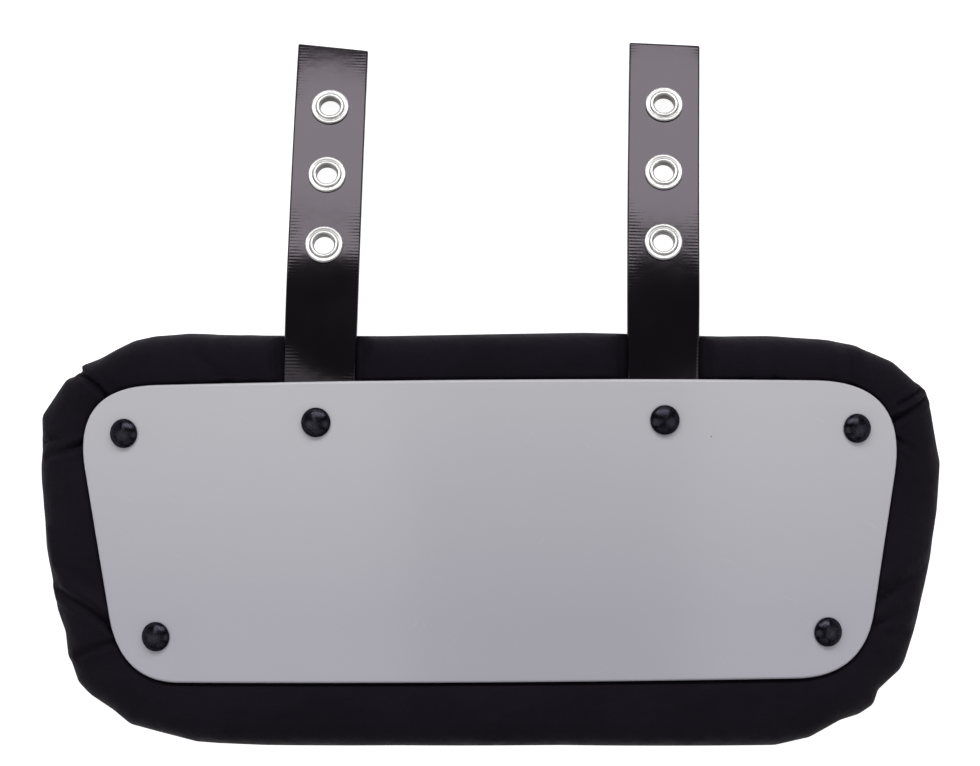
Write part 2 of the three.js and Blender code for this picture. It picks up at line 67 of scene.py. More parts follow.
STRAP_CURL_LENGTH = 24
RIVET_INSETS = {"top": (18.1, 17.5), "bottom": (17.3, 16.4)}
RUN_STEPS = 90
FAN_STEPS = 330
SEAT_ROWS = 4
RIM_ROWS = 76
BACK_ROWS = 20
COARSE = 3

# corner of the shell: across, up (shares of half its width and height), edge cut, side cut
SHELL_CORNERS = np.array([
    [1, 1, 0.119, 0.316], [-1, 1, 0.106, 0.283], [-1, -1, 0.084, 0.23], [1, -1, 0.097, 0.226],
])
# corners of the cushion as across and up, anticlockwise, with the tucks that its folds make
CUSHION_CORNERS = np.array([
    [33.8, 70.9], [-38.3, 70.2], [-96.9, 70.9], [-112.4, 72.0], [-125.3, 71.3], [-133.3, 69.8],
    [-146.1, 64.0], [-152.9, 61.8], [-155.4, 57.8], [-160.7, 56.5], [-171.6, 43.3], [-171.5, 32.0],
    [-172.4, 25.3], [-172.4, 17.9], [-170.6, -5.3], [-165.9, -29.5], [-162.3, -37.5], [-161.1, -47.0],
    [-159.8, -48.7], [-157.0, -56.1], [-151.7, -60.4], [-141.8, -65.6], [-135.2, -70.4], [-109.4, -75.8],
    [-83.4, -76.3], [-33.8, -75.9], [24.8, -76.1], [104.4, -78.2], [117.6, -76.1], [129.6, -70.5],
    [136.9, -68.8], [142.7, -65.7], [144.6, -60.6], [154.4, -53.5], [156.4, -50.5], [160.7, -39.7],
    [166.7, -17.8], [171.2, 5.3], [172.2, 23.8], [167.9, 43.6], [165.7, 49.6], [164.6, 50.7],
    [152.0, 60.8], [137.2, 66.2], [131.4, 67.4], [122.9, 68.5], [103.4, 69.4], [85.6, 69.3],
])
CUSHION_ROUNDING = 0.6
CORNER_STEPS = 24
END_PUFF = 1.0
SEAM_GAP = 0.3
# how the trial run of the cloth is held at the folds, and how far it may puff out, in metres
FOLD_HOLD = 0.45
FOLD_HOLD_WIDTH = 2.2
PUFF_PRESSURE = 3.0
PUFF_GROWTH = 0.03
PUFF_CAP = 0.0028
# puckers of the rim: width in steps round it, depth
PUCKERS = ((4, 0.09), (9, 0.17))
# the trough beside a strap, and the back drawn in at a washer
TROUGH_GAP = 0.5
TROUGH_SIDE = 9
DIMPLE_DEPTH = 3.6
DIMPLE_FLAT = 6.6
LOWEST = 0.0004
WEAVE_PITCH = 0.00045
# section through the rim: along (share of the rim's width), high (share of its thickness)
RIM_SECTION = np.array([
    [0.0, 0.848], [0.012, 0.885], [0.045, 0.94], [0.1, 0.965], [0.24, 0.99], [0.46, 1.0], [0.7, 0.97],
    [0.87, 0.87], [0.965, 0.71], [1.0, 0.5], [0.97, 0.28], [0.83, 0.09], [0.54, 0.0],
    [0.15, 0.04], [0.0, 0.09],
])
# how steeply a strap falls away: along (share of its free length), slope in degrees
STRAP_FALL = np.array([[0, 2], [0.16, 8.5], [0.38, 16], [0.6, 17.5], [0.81, 21], [1, 22]])
# folds of the rim: the line that each follows, as (across, up) points, its depth at the start and
# at the end of that line (below zero it is a ridge), its width, and how high the cloth beside it is
FOLDS = [
    ([(-152.5, 57.4), (-148.1, 55.3), (-144.9, 53.1), (-141.0, 48.5)], (2.6, 1.8), 1.0, 0.7),
    ([(-105.7, 64.0), (-94.5, 54.2)], (0.3, 0.7), 2.6, 0.2),
    ([(-92.5, 65.6), (-85.2, 54.9)], (0.3, 0.6), 2.6, 0.2),
    ([(-167.5, 32.6), (-161.2, 34.3), (-159.0, 33.0)], (0.8, 0.4), 0.8, 0.2),
    ([(-165.0, 27.4), (-157.5, 29.6), (-150.5, 32.2)], (0.5, 2.1), 1.0, 0.4),
    ([(-165.2, 0.8), (-162.8, -11.5), (-157.1, -19.1), (-148.2, -24.0), (-141.8, -27.8)],
     (-0.7, -1.3), 2.2, 0.0),
    ([(-162.0, -21.0), (-158.4, -23.1), (-150.2, -27.3), (-139.5, -34.6)], (0.6, 2.2), 1.2, 0.4),
    ([(-153.4, -44.6), (-146.3, -42.0), (-138.5, -39.6)], (1.0, 0.9), 1.0, 0.3),
    ([(160.5, 49.1), (151.1, 43.9)], (1.6, 0.9), 0.8, 0.5),
    ([(162.7, 46.1), (156.4, 42.0), (148.5, 37.9)], (1.7, 2.3), 1.0, 0.5),
    ([(156.5, 27.4), (150.8, 31.4)], (0.4, 1.4), 0.9, 0.3),
    ([(130.9, 64.0), (133.8, 53.0)], (0.3, 0.8), 2.2, 0.2),
    ([(162.0, -7.8), (152.5, -14.0), (145.0, -18.9)], (-0.5, -1.1), 3.0, 0.0),
    ([(160.5, -16.0), (153.1, -20.7), (144.5, -26.6)], (0.3, 1.1), 2.6, 0.1),
    ([(157.0, -22.0), (149.0, -28.0), (142.6, -31.8)], (-0.4, -0.9), 2.2, 0.0),
    ([(152.0, -30.2), (141.0, -36.0)], (0.2, 1.0), 1.8, 0.1),
    ([(153.0, -39.2), (146.0, -39.3)], (0.4, 0.5), 1.4, 0.1),
    ([(-163.0, -22.0), (-159.0, -22.0)], (0.5, 0.4), 1.0, 0.1),
    ([(93.0, 63.0), (93.0, 54.0)], (0.2, 0.5), 2.4, 0.1),
    ([(103.5, 63.0), (103.5, 54.0)], (0.2, 0.5), 2.4, 0.1),
]


def on_arch(flat):
    """Bends flat places over the arch and gives metres: out lengthens the arch's radius."""
    angle = flat[..., 0] / ARCH_RADIUS
    radius = ARCH_RADIUS + flat[..., 2]
    bent = np.stack([radius * np.sin(angle), flat[..., 1], radius * np.cos(angle) - ARCH_RADIUS], axis=-1)
    return (bent + ARCH_PLACE) / 1000


def off_arch(bent):
    """The flat place of a point in metres: on_arch undone by its angle and radius about the arch's axis."""
    x, up, z = np.moveaxis(bent * 1000 - ARCH_PLACE, -1, 0)
    across = ARCH_RADIUS * np.arctan2(x, z + ARCH_RADIUS)
    return np.stack([across, up, np.hypot(x, z + ARCH_RADIUS) - ARCH_RADIUS], axis=-1)


def rounded_outline(corners, before, after):
    """A closed outline with parabolas for corners, from a length before each to a length after it."""
    def towards(other, length):
        way = other - corners
        return corners + way / np.linalg.norm(way, axis=1)[:, None] * length[:, None]
    start = towards(np.roll(corners, 1, axis=0), before)
    end = towards(np.roll(corners, -1, axis=0), after)
    t = np.linspace(0, 1, CORNER_STEPS)[None, :, None]
    curve = (1 - t) ** 2 * start[:, None] + 2 * t * (1 - t) * corners[:, None] + t ** 2 * end[:, None]
    return curve.reshape(-1, 2)


def spokes():
    """Where lines across the cushion start and their ways: from a spine, fanned out at its ends."""
    spine = (SHELL_TOP_WIDTH - SHELL_HEIGHT) / 2
    run = np.arange(RUN_STEPS) / RUN_STEPS
    turn = np.pi * np.arange(FAN_STEPS) / FAN_STEPS
    still = np.zeros(RUN_STEPS)
    halves = []
    for side in (1, -1):
        halves.append(np.stack([side * spine * (1 - 2 * run), still, still, still + side], axis=1))
        halves.append(np.stack([
            np.full(FAN_STEPS, -side * spine), np.zeros(FAN_STEPS), -side * np.sin(turn), side * np.cos(turn),
        ], axis=1))
    both = np.concatenate(halves)
    return both[:, :2], both[:, 2:]


def reach(outline, origins, rays):
    """How far each spoke runs to the outline: the farthest of its meetings with the outline's sides."""
    a = outline[None]
    edge = np.roll(outline, -1, axis=0)[None] - a
    across = rays[:, None, 0] * edge[..., 1] - rays[:, None, 1] * edge[..., 0]
    across = np.where(np.abs(across) < 1e-9, 1e-9, across)
    offset = a - origins[:, None]
    distance = (offset[..., 0] * edge[..., 1] - offset[..., 1] * edge[..., 0]) / across
    share = (offset[..., 0] * rays[:, None, 1] - offset[..., 1] * rays[:, None, 0]) / across
    met = (share > -1e-6) & (share < 1 + 1e-6) & (distance > 0)
    return np.where(met, distance, 0).max(axis=1)


def smooth_line(points, count):
    """count points on the cubic through the given ones (Catmull-Rom), evenly spread over their order."""
    padded = np.concatenate([2 * points[:1] - points[1:2], points, 2 * points[-1:] - points[-2:-1]])
    place = np.linspace(0, len(points) - 1 - 1e-9, count)
    i = place.astype(int)
    t = (place - i)[:, None]
    a, b, c, d = padded[i], padded[i + 1], padded[i + 2], padded[i + 3]
    return b + 0.5 * t * (c - a + t * (2 * a - 5 * b + 4 * c - d + t * (3 * (b - c) + d - a)))


def smoothstep(value, low, high):
    """0 below low, 1 above high, and a smooth rise in between."""
    t = np.clip((value - low) / (high - low), 0, 1)
    return t * t * (3 - 2 * t)


def blurred(values, width):
    """A closed row of values, each averaged with its neighbours by a bell curve of that many steps."""
    reach_steps = int(3 * width) + 1
    offsets = np.arange(-reach_steps, reach_steps + 1)
    bell = np.exp(-(offsets / width) ** 2 / 2)
    return sum(w * np.roll(values, k, axis=0) for k, w in zip(offsets, bell / bell.sum()))


shell_widths = np.where(SHELL_CORNERS[:, 1] > 0, SHELL_TOP_WIDTH, SHELL_BOTTOM_WIDTH)
shell_corners = SHELL_CORNERS[:, :2] * np.stack([shell_widths, np.full(4, SHELL_HEIGHT)], axis=1) / 2
edge_cuts = SHELL_CORNERS[:, 2] * shell_widths
side_cuts = SHELL_CORNERS[:, 3] * SHELL_HEIGHT
edge_first = SHELL_CORNERS[:, 0] * SHELL_CORNERS[:, 1] < 0
shell_outline = rounded_outline(
    shell_corners, np.where(edge_first, edge_cuts, side_cuts), np.where(edge_first, side_cuts, edge_cuts))
# the long sides are bowed, so their straight runs get points too before the bow is added
long_run = np.linspace(0, 1, 80)[:, None]
shell_arcs = shell_outline.reshape(4, CORNER_STEPS, 2)
shell_outline = np.concatenate([
    np.concatenate([arc, arc[-1] + (after - arc[-1]) * long_run[1:-1]])
    for arc, after in zip(shell_arcs, np.roll(shell_arcs[:, 0], -1, axis=0))
])
shell_outline[:, 1] += SHELL_BOW * (0.5 - (shell_outline[:, 0] / (SHELL_TOP_WIDTH / 2)) ** 2)
cushion_rounds = np.full(len(CUSHION_CORNERS), CUSHION_ROUNDING)
cushion_outline = rounded_outline(CUSHION_CORNERS, cushion_rounds, cushion_rounds)

spoke_from, spoke_way = spokes()
shell_reach = reach(shell_outline, spoke_from, spoke_way)
# the bag is sewn smaller towards its ends, where it puffs out most
cushion_reach = blurred(reach(cushion_outline, spoke_from, spoke_way), 0.9) - 0.1
cushion_reach = cushion_reach - END_PUFF * np.abs(spoke_way[:, 0])


def ring(distance, out):
    """One closed line round the piece: a place on every spoke, at a distance from the spine and an out."""
    place = spoke_from + spoke_way * np.asarray(distance)[..., None]
    outs = np.broadcast_to(np.asarray(out, float), place.shape[:-1])
    return np.concatenate([place, outs[..., None]], axis=-1)


def cushion_rings():
    """The cushion's skin as rings: flat under the shell, once round the rim, and flat over the back."""
    rings = [ring(share * shell_reach, SEAT_OUT) for share in np.linspace(0, 0.9, SEAT_ROWS)]
    for along, high in smooth_line(RIM_SECTION, RIM_ROWS):
        distance = shell_reach + SEAM_GAP + along * (cushion_reach - shell_reach - SEAM_GAP)
        rings.append(ring(distance, high * RIM_THICKNESS - RIM_DROP - RIM_THICKNESS))
    for share in np.linspace(0.98, 0, BACK_ROWS):
        rings.append(ring(share * shell_reach, BACK_OUT))
    return np.array(rings)


def skin_faces(rows, columns):
    """Quads of a grid whose columns close on themselves, wound so that they face outwards."""
    r, c = np.meshgrid(np.arange(rows - 1), np.arange(columns), indexing="ij")
    here, beside = r * columns + c, r * columns + (c + 1) % columns
    return np.stack([here, here + columns, beside + columns, beside], axis=-1).reshape(-1, 4)


def skin_normals(points):
    """Outward unit normals of such a grid, from its differences along both ways."""
    down = np.gradient(points, axis=0)
    round_it = np.roll(points, -1, axis=1) - np.roll(points, 1, axis=1)
    normal = np.cross(down, round_it)
    return normal / np.maximum(np.linalg.norm(normal, axis=-1, keepdims=True), 1e-12)


def new_piece(name, points, faces, cloth_map=None, smooth=True):
    """A mesh object in metres; cloth_map gives every face corner its place on the flat cloth."""
    mesh = bpy.data.meshes.new(name)
    mesh.from_pydata(points.reshape(-1, 3), [], faces)
    if cloth_map is not None:
        mesh.uv_layers.new(name="cloth").data.foreach_set("uv", cloth_map.astype(np.float32).ravel())
    mesh.polygons.foreach_set("use_smooth", np.full(len(mesh.polygons), smooth))
    piece = bpy.data.objects.new(name, mesh)
    bpy.context.scene.collection.objects.link(piece)
    return piece


def weld(piece, gap, outward=True):
    """Joins the points of a piece that lie within gap, in metres, and turns its faces outwards."""
    joined = bmesh.new()
    joined.from_mesh(piece.data)
    bmesh.ops.remove_doubles(joined, verts=joined.verts, dist=gap)
    if outward:
        bmesh.ops.recalc_face_normals(joined, faces=joined.faces)
    joined.to_mesh(piece.data)
    joined.free()


def travelled(steps):
    """How far a walk of these steps has come before each of them and at its end."""
    return np.concatenate([[0], np.cumsum(steps)])


def puffed(points, held):
    """What cloth does on these rings when air pushes it out: each point's move, in metres."""
    rows, columns = points.shape[:2]
    cloth_piece = new_piece("cushion_trial", points, skin_faces(rows, columns).tolist())
    pins = cloth_piece.vertex_groups.new(name="held")
    levels = np.round(held.ravel(), 2)
    for level in np.unique(levels[levels > 0]):
        pins.add(np.flatnonzero(levels == level).tolist(), float(level), "REPLACE")
    cloth = cloth_piece.modifiers.new("cloth", "CLOTH")
    cloth.settings.vertex_group_mass = "held"
    cloth.settings.quality = 6
    cloth.settings.mass = 0.15
    cloth.settings.tension_stiffness = 12
    cloth.settings.compression_stiffness = 6
    cloth.settings.shear_stiffness = 4
    cloth.settings.bending_stiffness = 0.08
    cloth.settings.air_damping = 2
    cloth.settings.shrink_min = -PUFF_GROWTH
    cloth.settings.use_pressure = True
    cloth.settings.uniform_pressure_force = PUFF_PRESSURE
    cloth.settings.effector_weights.gravity = 0
    cloth.collision_settings.use_collision = False
    for step in range(1, 19):
        bpy.context.scene.frame_set(step)
    settled = cloth_piece.evaluated_get(bpy.context.evaluated_depsgraph_get()).to_mesh()
    moved = np.empty(rows * columns * 3, np.float32)
    settled.vertices.foreach_get("co", moved)
    bpy.context.scene.frame_set(1)
    bpy.data.objects.remove(cloth_piece)
    move = moved.reshape(points.shape) - points
    length = np.linalg.norm(move, axis=-1, keepdims=True)
    return move * PUFF_CAP / np.sqrt(PUFF_CAP ** 2 + length ** 2)


def finer(values, times, closed):
    """The cubic through rows of values (Catmull-Rom), with times - 1 new rows between each two."""
    count = len(values)
    place = np.arange(count * times if closed else (count - 1) * times + 1) / times
    i = place.astype(int)
    t = (place - i).reshape((-1,) + (1,) * (values.ndim - 1))
    a, b, c, d = (values[(i + k) % count if closed else np.clip(i + k, 0, count - 1)] for k in (-1, 0, 1, 2))
    return b + 0.5 * t * (c - a + t * (2 * a - 5 * b + 4 * c - d + t * (3 * (b - c) + d - a)))


def near_line(flat, line):
    """Distance of each place to a line of points, and the share of the line at the nearest point."""
    line = np.array(line, float)
    lengths = np.linalg.norm(np.diff(line, axis=0), axis=1)
    best = np.full(flat.shape[:-1], 1e9)
    along = np.zeros(flat.shape[:-1])
    for i, (a, b) in enumerate(zip(line[:-1], line[1:])):
        t = np.clip(((flat[..., :2] - a) @ (b - a)) / lengths[i] ** 2, 0, 1)
        away = np.linalg.norm(flat[..., :2] - a - t[..., None] * (b - a), axis=-1)
        closer = away < best
        best = np.where(closer, away, best)
        along = np.where(closer, (lengths[:i].sum() + t * lengths[i]) / lengths.sum(), along)
    return best, along


def strap_frames(side, lengths):
    """Places and axes on a strap's middle layer at lengths beyond the shell's edge."""
    place = np.array([side * STRAP_SPACING / 2, SHELL_HEIGHT / 2 - STRAP_INSET, 0.0])
    arch_angle = place[0] / ARCH_RADIUS
    fine = np.linspace(0, STRAP_FREE_LENGTH + 6, 620)
    curl = STRAP_CURL[side] * smoothstep(fine, STRAP_FREE_LENGTH - STRAP_CURL_LENGTH, STRAP_FREE_LENGTH)
    slopes = np.radians(np.interp(fine / STRAP_FREE_LENGTH, STRAP_FALL[:, 0], STRAP_FALL[:, 1]) + curl)
    step = fine[1]
    run = travelled(np.cos((slopes[1:] + slopes[:-1]) / 2) * step)
    drop = travelled(np.sin((slopes[1:] + slopes[:-1]) / 2) * step)
    free = np.maximum(lengths, 0)
    slope = np.where(lengths > 0, np.interp(free, fine, slopes), 0.0)
    turn = arch_angle * (1 - smoothstep(lengths / STRAP_FREE_LENGTH, 0, STRAP_TURN_SHARE))
    bow = STRAP_BOW[side] * np.sin(np.pi * np.clip(lengths / STRAP_FREE_LENGTH, 0, 1))
    middle = np.stack([
        np.sin(arch_angle) * STRAP_MIDDLE + bow,
        STRAP_INSET + np.minimum(lengths, 0) + np.interp(free, fine, run),
        np.cos(arch_angle) * STRAP_MIDDLE - np.interp(free, fine, drop),
    ], axis=-1)
    across = np.stack([np.cos(turn), -np.sin(turn) * np.sin(slope), -np.sin(turn) * np.cos(slope)], axis=-1)
    along = np.stack([0 * slope, np.cos(slope), -np.sin(slope)], axis=-1)
    axes = np.stack([across, along, np.cross(across, along)], axis=-2)
    lean = -np.radians(STRAP_LEAN)
    spin = np.array([[np.cos(lean), np.sin(lean), 0], [-np.sin(lean), np.cos(lean), 0], [0, 0, 1]])
    return middle @ spin + on_arch(place) * 1000, axes @ spin


def under_straps(bent):
    """How far each place of the cushion, in metres, has to sink so that a strap lies clear over it."""
    lengths = np.linspace(-STRAP_INSET - STRAP_TAIL, STRAP_FREE_LENGTH / 2, 200)
    sink = np.zeros(bent.shape[:-1])
    for side in (-1, 1):
        middle, axes = strap_frames(side, lengths)
        up = bent[..., 1] * 1000
        mid_x = np.interp(up, middle[:, 1], middle[:, 0])
        mid_z = np.interp(up, middle[:, 1], middle[:, 2])
        tilt = np.interp(up, middle[:, 1], axes[:, 0, 2] / axes[:, 0, 0])
        beside = bent[..., 0] * 1000 - mid_x
        ceiling = mid_z + tilt * np.clip(beside, -14, 14) - STRAP_THICKNESS / 2 - TROUGH_GAP
        rise = smoothstep(np.abs(beside), STRAP_WIDTH / 2 + 0.3, STRAP_WIDTH / 2 + TROUGH_SIDE)
        ceiling = ceiling + TROUGH_SIDE * rise
        over = bent[..., 2] * 1000 - ceiling
        beneath = (np.abs(beside) < STRAP_WIDTH / 2 + TROUGH_SIDE) & (up > middle[0, 1])
        sink = np.maximum(sink, np.where(beneath, 0.5 * (over + np.sqrt(over ** 2 + 0.3)), 0))
    return sink / 1000


def rivet_places():
    """Every rivet's name and its flat place on the shell, set in from the shell's edges."""
    places = {}
    for side_name, side in (("left", -1), ("right", 1)):
        for name, end in (("top", 1), ("bottom", -1)):
            side_inset, end_inset = RIVET_INSETS[name]
            up = end * (SHELL_HEIGHT / 2 - end_inset)
            widening = (SHELL_TOP_WIDTH - SHELL_BOTTOM_WIDTH) * (up / SHELL_HEIGHT + 0.5)
            half = (SHELL_BOTTOM_WIDTH + widening) / 2
            places[name + "_" + side_name] = (side * (half - side_inset), up)
        places["strap_" + side_name] = (side * STRAP_SPACING / 2, SHELL_HEIGHT / 2 - STRAP_INSET)
    return places


rivets = rivet_places()
cushion_flat = cushion_rings()
rim_share = np.clip((np.arange(len(cushion_flat)) - SEAT_ROWS) / (RIM_ROWS - 1), 0, 1)[:, None]

# the trial run of the cloth: held under the shell, over the back and along every fold
coarse_flat = cushion_flat[::COARSE, ::COARSE]
coarse_rim = rim_share[::COARSE]
held = np.maximum(1 - smoothstep(coarse_rim, 0.0, 0.06), smoothstep(coarse_rim, 0.86, 1.0))
held = held + np.zeros(coarse_flat.shape[:2])
for line, depths, *_ in FOLDS:
    away, along = near_line(coarse_flat, line)
    strength = np.clip(FOLD_HOLD * np.interp(along, [0, 1], np.abs(depths)), 0, 0.95)
    held = np.maximum(held, strength * np.exp(-(away / FOLD_HOLD_WIDTH) ** 2) * (coarse_rim < 0.6))
puff = puffed(on_arch(coarse_flat), held)
puff = finer(np.moveaxis(finer(puff, COARSE, closed=False), 1, 0), COARSE, closed=True)
cushion_bent = on_arch(cushion_flat) + np.moveaxis(puff, 0, 1)

# folds and puckers pressed into the puffed skin along its normals
cushion_flat = off_arch(cushion_bent)
normals = skin_normals(cushion_flat)
top_side = 1 - smoothstep(rim_share, 0.62, 0.8)
dent = np.zeros(cushion_flat.shape[:2])
for line, depths, width, lip in FOLDS:
    away, along = near_line(cushion_flat, line)
    depth = np.interp(along, [0, 1], depths)
    if depths[0] > 0:
        groove = 1.5 * depth * np.exp(-away / (0.8 * width))
    else:
        groove = depth * np.exp(-(away / width) ** 2)
    dent += groove - lip * np.exp(-((away - 2.4 * width) / width) ** 2)
chance = np.random.default_rng(11)
puckers = sum(
    blurred(chance.standard_normal(cushion_flat.shape[1]), width) * width ** 0.5 * depth
    for width, depth in PUCKERS)
fan = np.abs(spoke_way[:, 0]) ** 0.5
side_bell = np.sin(np.pi * np.clip(rim_share * 1.25, 0, 1))
dent += puckers[None] * (0.35 + fan[None]) * side_bell
cushion_flat = cushion_flat - normals * (dent * top_side * (rim_share > 0))[..., None]

# the back is drawn in round every rivet's washer
for place in rivets.values():
    away = np.linalg.norm(cushion_flat[..., :2] - place, axis=-1)
    drawn = DIMPLE_DEPTH * np.exp(-np.maximum(away - DIMPLE_FLAT, 0) ** 2 / 40)
    cushion_flat[..., 2] += np.where(rim_share >= 0.9, drawn, 0)
cushion_bent = on_arch(cushion_flat)
cushion_bent[..., 2] -= under_straps(cushion_bent) * (rim_share < 0.6)
# nothing reaches below the surface that the back plate lies on
above = cushion_bent[..., 2] - LOWEST
cushion_bent[..., 2] = LOWEST + 0.5 * (above + np.sqrt(above ** 2 + 2e-7))

rows, columns = cushion_bent.shape[:2]
cushion_faces = skin_faces(rows, columns)
down_cloth = travelled(np.linalg.norm(np.diff(cushion_bent, axis=0), axis=-1).mean(axis=1))
middle_ring = cushion_bent[SEAT_ROWS + RIM_ROWS // 3]
round_cloth = travelled(np.linalg.norm(np.roll(middle_ring, -1, axis=0) - middle_ring, axis=-1))
r, c = np.meshgrid(np.arange(rows - 1), np.arange(columns), indexing="ij")
face_corners = ((0, 0), (1, 0), (1, 1), (0, 1))
cloth_map = np.stack([
    np.stack([round_cloth[c + dc], down_cloth[r + dr]], axis=-1) for dr, dc in face_corners
], axis=-2)
cushion = new_piece("cushion_cover", cushion_bent, cushion_faces.tolist(), cloth_map)
weld(cushion, 1e-5, outward=False)


def put(tree, kind, inputs=None, **settings):
    """Adds a node with its own settings; each of its inputs is a value or an output to link."""
    made = tree.nodes.new(kind)
    for key, value in settings.items():
        setattr(made, key, value)
    for key, value in (inputs or {}).items():
        if isinstance(value, bpy.types.NodeSocket):
            tree.links.new(value, made.inputs[key])
        else:
            made.inputs[key].default_value = value
    return made


def math_of(tree, operation, *values):
    """The result of one sum, product or the like of values and outputs."""
    return put(tree, "ShaderNodeMath", dict(enumerate(values)), operation=operation).outputs[0]


def vector_of(tree, operation, *values):
    """The same with vectors."""
    return put(tree, "ShaderNodeVectorMath", dict(enumerate(values)), operation=operation).outputs[0]


def range_of(tree, value, low, high, to=(0.0, 1.0)):
    """What runs between the two numbers in to while a value runs from low to high."""
    ends = {"From Min": low, "From Max": high, "To Min": to[0], "To Max": to[1]}
    return put(tree, "ShaderNodeMapRange", {"Value": value, **ends}).outputs[0]


def new_group(name, takes, gives):
    """An empty shader node group: its inputs with their first values, and its outputs' names."""
    tree = bpy.data.node_groups.new(name, "ShaderNodeTree")
    for label, start in takes.items():
        kind = "NodeSocketVector" if isinstance(start, tuple) else "NodeSocketFloat"
        tree.interface.new_socket(name=label, in_out="INPUT", socket_type=kind).default_value = start
    for label in gives:
        tree.interface.new_socket(name=label, in_out="OUTPUT", socket_type="NodeSocketFloat")
    return tree, tree.nodes.new("NodeGroupInput"), tree.nodes.new("NodeGroupOutput")


def weave_group():
    """Plain weave on a cloth map in metres: threads cross as the product of two sine waves."""
    tree, takes, gives = new_group("plain_weave", {"Cloth": (0, 0, 0), "Pitch": 0.0005}, ("Height", "Shade"))
    scaled = vector_of(tree, "DIVIDE", takes.outputs["Cloth"], takes.outputs["Pitch"])
    parts = put(tree, "ShaderNodeSeparateXYZ", {0: scaled})
    waves = [math_of(tree, "SINE", math_of(tree, "MULTIPLY", parts.outputs[k], np.pi)) for k in ("X", "Y")]
    crossed = math_of(tree, "MULTIPLY", *waves)
    tree.links.new(math_of(tree, "ABSOLUTE", crossed), gives.inputs["Height"])
    tree.links.new(range_of(tree, crossed, -0.3, 0.3), gives.inputs["Shade"])
    return tree


def grain_group():
    """Uneven surface: noise on Object places, as a height and as a mask with more contrast."""
    tree, takes, gives = new_group("surface_grain", {"Size": 0.002}, ("Height", "Mask"))
    place = put(tree, "ShaderNodeTexCoord").outputs["Object"]
    scaled = vector_of(tree, "DIVIDE", place, takes.outputs["Size"])
    noise = {"Vector": scaled, "Scale": 1.0, "Detail": 3.0, "Roughness": 0.55}
    broad = put(tree, "ShaderNodeTexNoise", noise).outputs["Fac"]
    tree.links.new(broad, gives.inputs["Height"])
    tree.links.new(range_of(tree, broad, 0.35, 0.65), gives.inputs["Mask"])
    return tree


def specks_group():
    """Lint and dust: the cores of scattered cells, kept only where the cell's own chance is high."""
    starts = {"Spacing": 0.01, "Share": 0.05, "Kept": 0.6}
    tree, takes, gives = new_group("lint_and_dust", starts, ("Mask",))
    place = put(tree, "ShaderNodeTexCoord").outputs["Object"]
    scaled = vector_of(tree, "DIVIDE", place, takes.outputs["Spacing"])
    cells = put(tree, "ShaderNodeTexVoronoi", {"Vector": scaled, "Scale": 1.0})
    core = math_of(tree, "LESS_THAN", cells.outputs["Distance"], takes.outputs["Share"])
    parts = put(tree, "ShaderNodeSeparateColor", {0: cells.outputs["Color"]})
    kept = math_of(tree, "GREATER_THAN", parts.outputs[0], takes.outputs["Kept"])
    tree.links.new(math_of(tree, "MULTIPLY", core, kept), gives.inputs["Mask"])
    return tree


plain_weave = weave_group()
surface_grain = grain_group()
lint_and_dust = specks_group()


def new_finish(name):
    """A material with an empty tree but for its Principled shader and output; returns both, shader first."""
    finish = bpy.data.materials.new(name)
    finish.use_nodes = True
    tree = finish.node_tree
    tree.nodes.clear()
    shader = tree.nodes.new("ShaderNodeBsdfPrincipled")
    end = tree.nodes.new("ShaderNodeOutputMaterial")
    tree.links.new(shader.outputs[0], end.inputs["Surface"])
    return finish, tree, shader


def group_node(tree, group, inputs):
    """One use of a node group, with its own values."""
    return put(tree, "ShaderNodeGroup", inputs, node_tree=group)


def mixed(tree, share, first, second):
    """A colour between two, by a share that changes over the surface."""
    mix = tree.nodes.new("ShaderNodeMix")
    mix.data_type = "RGBA"
    tree.links.new(share, mix.inputs["Factor"])
    for label, colour in (("A", first), ("B", second)):
        socket = [s for s in mix.inputs if s.name == label and s.type == "RGBA"][0]
        if isinstance(colour, bpy.types.NodeSocket):
            tree.links.new(colour, socket)
        else:
            socket.default_value = (*colour, 1)
    return [s for s in mix.outputs if s.type == "RGBA"][0]


def spread(tree, share, low, high):
    """A number that runs from low to high with a share."""
    return range_of(tree, share, 0.0, 1.0, (low, high))


def waved(tree, along, pitch):
    """A sine wave along a map, with one wave to each pitch, in metres."""
    return math_of(tree, "SINE", math_of(tree, "MULTIPLY", along, 2 * np.pi / pitch))


def bumped(tree, height, distance, strength=1.0, normal=None):
    """The normal of a surface with that height on it, the distance being its depth in metres."""
    inputs = {"Height": height, "Distance": distance, "Strength": strength}
    if normal is not None:
        inputs["Normal"] = normal
    return put(tree, "ShaderNodeBump", inputs).outputs[0]


nylon, tree, shader = new_finish("black_nylon")
cloth = put(tree, "ShaderNodeUVMap", uv_map="cloth").outputs[0]
weave = group_node(tree, plain_weave, {"Cloth": cloth, "Pitch": WEAVE_PITCH})
crumple = group_node(tree, surface_grain, {"Size": 0.006})
wear = group_node(tree, surface_grain, {"Size": 0.03})
lint = group_node(tree, lint_and_dust, {"Spacing": 0.016, "Share": 0.02, "Kept": 0.82})
base = mixed(tree, wear.outputs["Mask"], (0.0062, 0.0049, 0.0082), (0.0101, 0.0079, 0.013))
base = mixed(tree, weave.outputs["Shade"], base, (0.0099, 0.0078, 0.0127))
base = mixed(tree, lint.outputs["Mask"], base, (0.03, 0.03, 0.032))
tree.links.new(base, shader.inputs["Base Color"])
tree.links.new(spread(tree, crumple.outputs["Mask"], 0.72, 0.6), shader.inputs["Roughness"])
shader.inputs["Specular IOR Level"].default_value = 0.07
shader.inputs["Specular Tint"].default_value = (0.93, 0.86, 1.0, 1)
shader.inputs["Sheen Weight"].default_value = 0.02
shader.inputs["Sheen Roughness"].default_value = 0.4
shader.inputs["Sheen Tint"].default_value = (0.6, 0.58, 0.7, 1)
